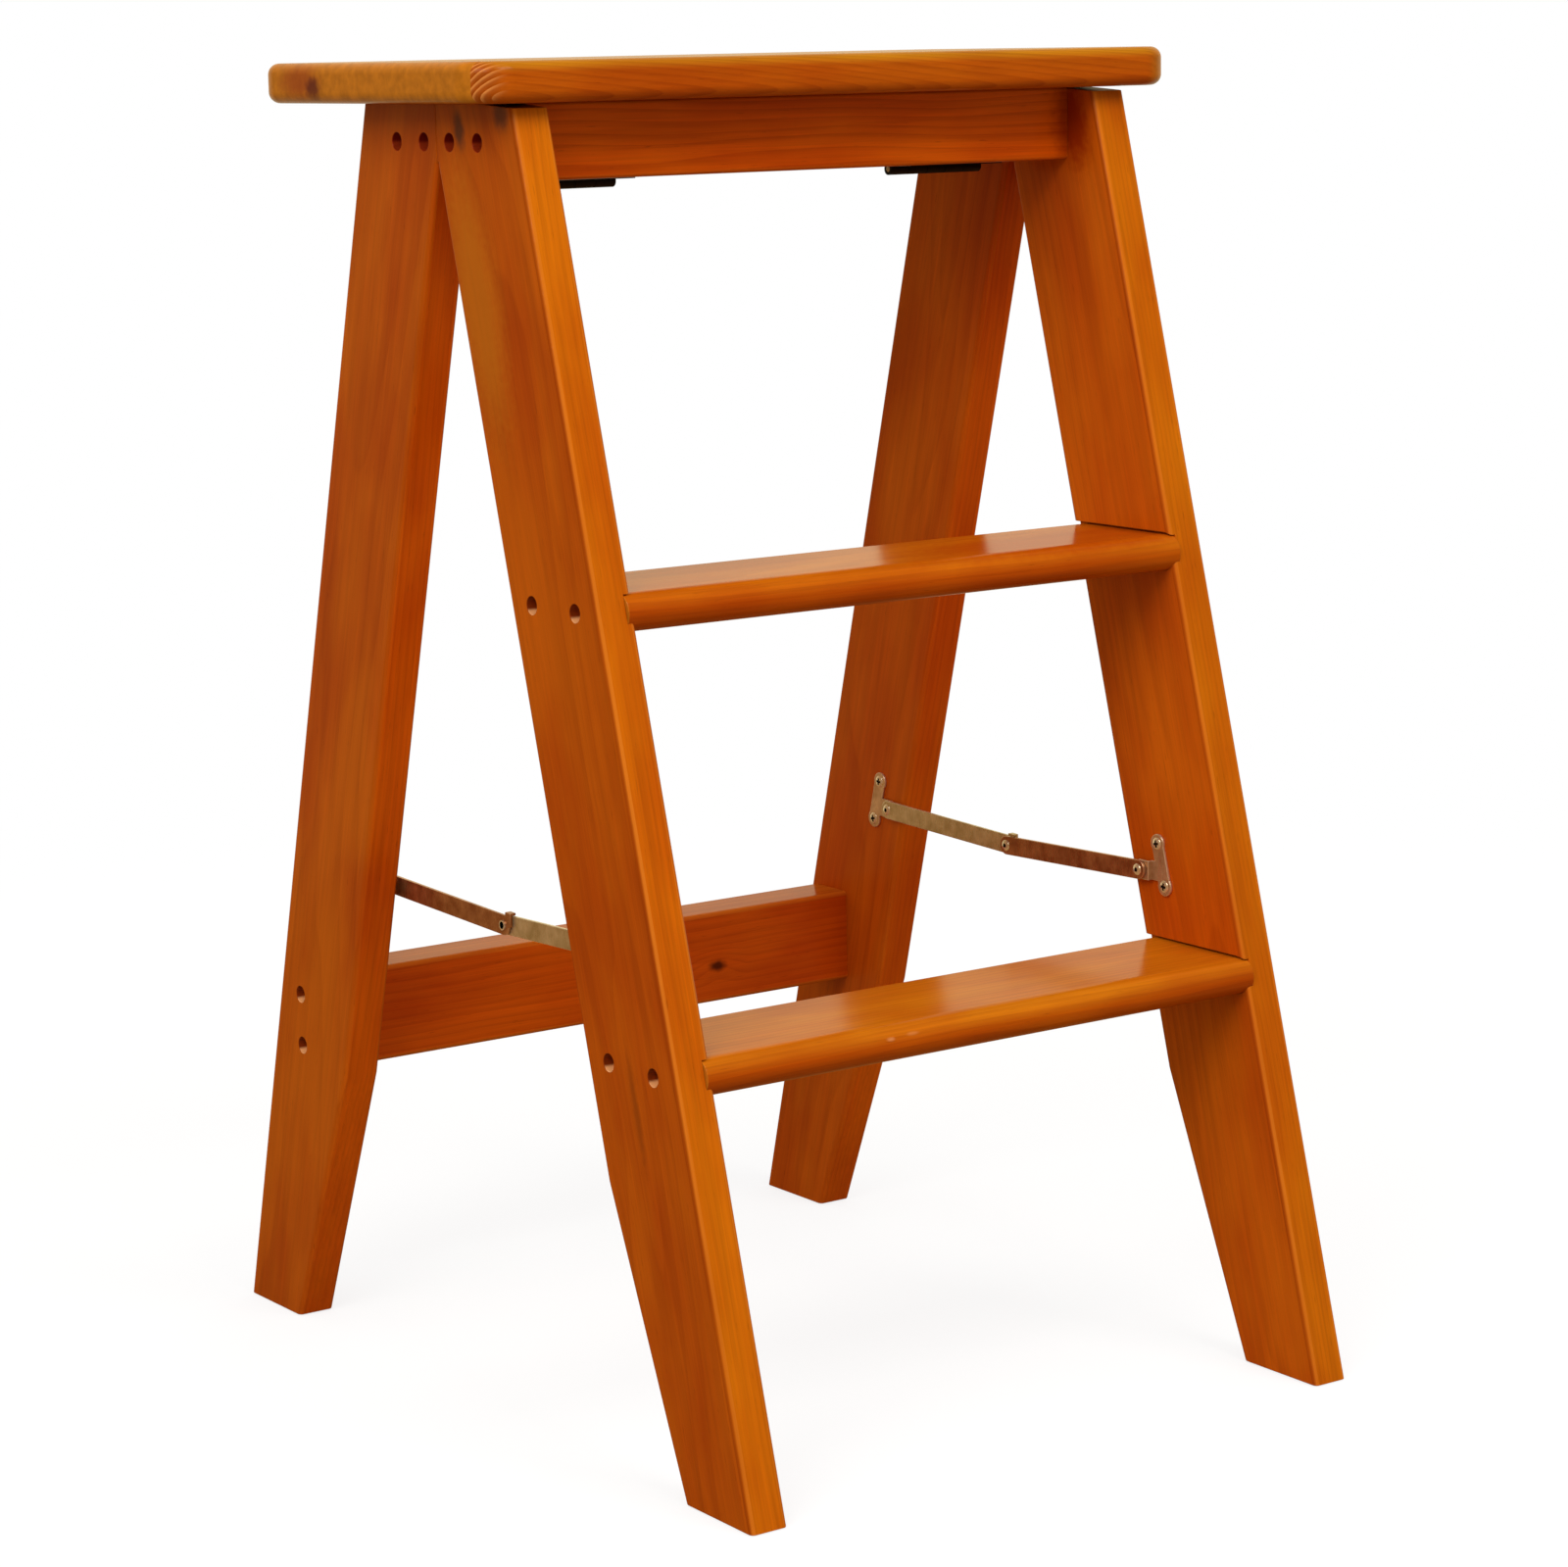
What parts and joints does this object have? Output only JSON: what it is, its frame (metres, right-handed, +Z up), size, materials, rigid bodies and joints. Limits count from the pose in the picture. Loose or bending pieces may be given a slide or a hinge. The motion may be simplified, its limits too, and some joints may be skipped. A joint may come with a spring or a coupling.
{
  "type": "folding step stool",
  "caption": "Folding wooden step stool: board legs, housed treads with rounded noses, a rounded seat board, butt hinges under the rails and folding metal stays at the sides.",
  "frame": {"origin": "on the floor, midway between the four feet, straight below the joint between the front and rear frames", "axes": "+X to the right seen from the front, along the treads; +Y to the rear; +Z up"},
  "size_m": [0.408, 0.4722, 0.65],
  "materials": {
    "lacquered_pine": "honey-cherry stain under satin-gloss lacquer",
    "yellow_zinc_steel": "yellow zinc plate over rolled steel strip",
    "black_steel": "black baked enamel, satin",
    "screw_steel": "dull zinc plate"
  },
  "bodies": {
    "front_frame": {"seat_board": "lacquered_pine", "front_rail": "lacquered_pine", "front_leg_left": "lacquered_pine", "front_leg_right": "lacquered_pine", "upper_tread": "lacquered_pine", "lower_tread": "lacquered_pine", "seat_screws": "screw_steel", "front_rail_screws": "screw_steel", "upper_tread_screws": "screw_steel", "lower_tread_screws": "screw_steel", "front_hinge_leaf_left": "black_steel", "front_hinge_leaf_right": "black_steel", "hinge_pins": "screw_steel", "front_hinge_screws": "black_steel", "front_stay_bracket_left": "yellow_zinc_steel", "front_stay_bracket_right": "yellow_zinc_steel", "front_bracket_screws": "yellow_zinc_steel", "front_pivot_rivets": "yellow_zinc_steel"},
    "rear_frame": {"rear_rail": "lacquered_pine", "rear_leg_left": "lacquered_pine", "rear_leg_right": "lacquered_pine", "rear_stretcher": "lacquered_pine", "rear_rail_screws": "screw_steel", "stretcher_screws": "screw_steel", "rear_hinge_leaf_left": "black_steel", "rear_hinge_leaf_right": "black_steel", "rear_hinge_screws": "black_steel", "rear_stay_bracket_left": "yellow_zinc_steel", "rear_stay_bracket_right": "yellow_zinc_steel", "rear_bracket_screws": "yellow_zinc_steel"},
    "left_front_link": {"front_link_left": "yellow_zinc_steel", "middle_rivet_left": "yellow_zinc_steel"},
    "right_front_link": {"front_link_right": "yellow_zinc_steel", "middle_rivet_right": "yellow_zinc_steel"},
    "left_rear_link": {"rear_link_left": "yellow_zinc_steel", "rear_pivot_rivet_left": "yellow_zinc_steel"},
    "right_rear_link": {"rear_link_right": "yellow_zinc_steel", "rear_pivot_rivet_right": "yellow_zinc_steel"}
  },
  "joints": [
    {"name": "rear_fold", "type": "hinge", "parent": "front_frame", "child": "rear_frame", "pos_m": [0, 0, 0.592], "axis": [-1, 0, 0], "range_deg": [0, 30]},
    {"name": "left_front_pivot", "type": "hinge", "parent": "front_frame", "child": "left_front_link", "pos_m": [-0.1539, -0.10751, 0.241], "axis": [1, 0, 0], "range_deg": [0, 70]},
    {"name": "right_front_pivot", "type": "hinge", "parent": "front_frame", "child": "right_front_link", "pos_m": [0.1539, -0.10751, 0.241], "axis": [1, 0, 0], "range_deg": [0, 70]},
    {"name": "left_middle_pivot", "type": "hinge", "parent": "left_front_link", "child": "left_rear_link", "pos_m": [-0.1548, 0, 0.2375], "axis": [-1, 0, 0], "range_deg": [0, 170]},
    {"name": "right_middle_pivot", "type": "hinge", "parent": "right_front_link", "child": "right_rear_link", "pos_m": [0.1548, 0, 0.2375], "axis": [-1, 0, 0], "range_deg": [0, 170]}
  ],
  "couplings": [
    {"joint": "left_front_pivot", "follows": "rear_fold", "ratio": 2.3307},
    {"joint": "right_front_pivot", "follows": "rear_fold", "ratio": 2.3307},
    {"joint": "left_middle_pivot", "follows": "rear_fold", "ratio": 5.6614},
    {"joint": "right_middle_pivot", "follows": "rear_fold", "ratio": 5.6614}
  ]
}
